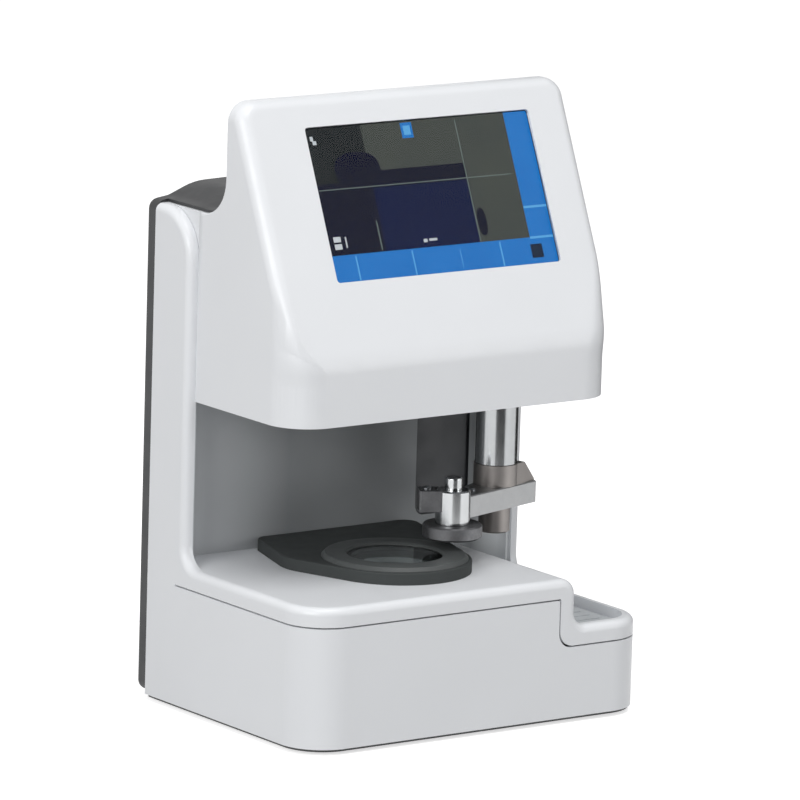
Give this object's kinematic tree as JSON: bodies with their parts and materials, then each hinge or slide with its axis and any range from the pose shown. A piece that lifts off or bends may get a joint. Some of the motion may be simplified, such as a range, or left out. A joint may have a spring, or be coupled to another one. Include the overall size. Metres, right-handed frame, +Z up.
{
  "type": "lensmeter",
  "caption": "Bench lens meter with a tilted touch screen head, a lens stage, an accessory tray and a travelling blocking arm.",
  "frame": {"origin": "centre of the overall box on the standing surface, under the rubber feet", "axes": "+Z up, +X to the operator's right, +Y from the screen side to the back"},
  "size_m": [0.235, 0.172, 0.3512],
  "materials": {
    "white_shell": "satin",
    "grey_liner": "matte",
    "dark_panel": "matte",
    "charcoal_shell": "satin",
    "black_plate": "satin",
    "mat_rubber": "matte",
    "foot_rubber": "matte",
    "clear_glass": "polished",
    "screen_glass": "polished",
    "display": "gloss",
    "chrome_steel": "polished",
    "milled_aluminium": "satin",
    "dark_anodised": "satin",
    "zinc_sheet": "satin",
    "steel_screw": "satin",
    "bronze": "satin",
    "spring_steel": "satin",
    "black_plastic": "gloss",
    "motor_case": "satin",
    "circuit_board": "matte"
  },
  "bodies": {
    "frame": {"base_housing": "white_shell", "frame_cover": "white_shell", "head_housing": "white_shell", "throat_liner": "grey_liner", "arm_recess_panel": "dark_panel", "tray_mat": "mat_rubber", "bottom_plate": "charcoal_shell", "rubber_feet": "foot_rubber", "bottom_screws": "steel_screw", "stage_plate": "black_plate", "stage_ring": "black_plate", "stage_window": "clear_glass", "head_bottom_cover": "white_shell", "head_window": "clear_glass", "head_screws": "steel_screw", "touch_glass": "screen_glass", "lcd_panel": "display", "screen_gasket": "foot_rubber", "display_bracket": "zinc_sheet", "rear_cover": "charcoal_shell", "rear_cover_screws": "steel_screw", "power_inlet": "black_plastic", "rocker_frame": "black_plastic", "data_ports": "black_plastic", "column_frame": "zinc_sheet", "head_frame": "zinc_sheet", "rail_end_plates": "zinc_sheet", "guide_rods": "chrome_steel", "traverse_motor": "motor_case", "led_board": "circuit_board", "illuminator_tube": "dark_anodised", "collimator_lens": "clear_glass", "hartmann_plate": "black_plate", "optics_tube": "dark_anodised", "imaging_lens": "clear_glass", "sensor_board": "circuit_board", "power_supply": "zinc_sheet", "main_board": "circuit_board"},
    "carriage": {"carriage": "milled_aluminium", "traverse_nut": "bronze", "shaft_bush": "bronze", "lift_motor": "motor_case", "lift_bracket": "zinc_sheet"},
    "traverse_screw": {"traverse_screw": "spring_steel"},
    "lift_screw": {"lift_screw": "spring_steel"},
    "arm": {"arm_shaft": "chrome_steel", "lift_nut": "bronze", "chuck_arm": "milled_aluminium", "arm_collar": "dark_anodised", "shaft_end_nut": "dark_anodised", "chuck_barrel": "chrome_steel", "chuck_clamp": "dark_anodised", "clamp_screws": "steel_screw", "knob_spring": "spring_steel", "block_holder": "dark_anodised", "holder_pad": "foot_rubber"},
    "plunger": {"chuck_knob": "chrome_steel"},
    "rocker": {"power_rocker": "black_plastic"}
  },
  "joints": [
    {"name": "arm_traverse", "type": "slide", "parent": "frame", "child": "carriage", "axis": [1, 0, 0], "range_m": [-0.0393, 0.012]},
    {"name": "traverse_screw_spin", "type": "hinge", "parent": "frame", "child": "traverse_screw", "pos_m": [0, 0.026, 0.21], "axis": [1, 0, 0], "range_deg": [-3540, 1085]},
    {"name": "arm_lift", "type": "slide", "parent": "carriage", "child": "arm", "axis": [0, 0, 1], "range_m": [0, 0.036]},
    {"name": "lift_screw_spin", "type": "hinge", "parent": "carriage", "child": "lift_screw", "pos_m": [0.0684, 0, 0.2], "axis": [0, 0, 1], "range_deg": [-5, 3245]},
    {"name": "plunger_press", "type": "slide", "parent": "arm", "child": "plunger", "axis": [0, 0, -1], "range_m": [0, 0.004], "stiffness_N_per_m": 400, "springref_m": -0.0025, "deforming": ["knob_spring"]},
    {"name": "power_rocker_tilt", "type": "hinge", "parent": "frame", "child": "rocker", "pos_m": [-0.008, 0.0815, 0.034], "axis": [1, 0, 0], "range_deg": [0, 16]}
  ],
  "couplings": [
    {"joint": "traverse_screw_spin", "follows": "arm_traverse", "rad_per_m": 1570.8},
    {"joint": "lift_screw_spin", "follows": "arm_lift", "rad_per_m": 1570.8}
  ]
}
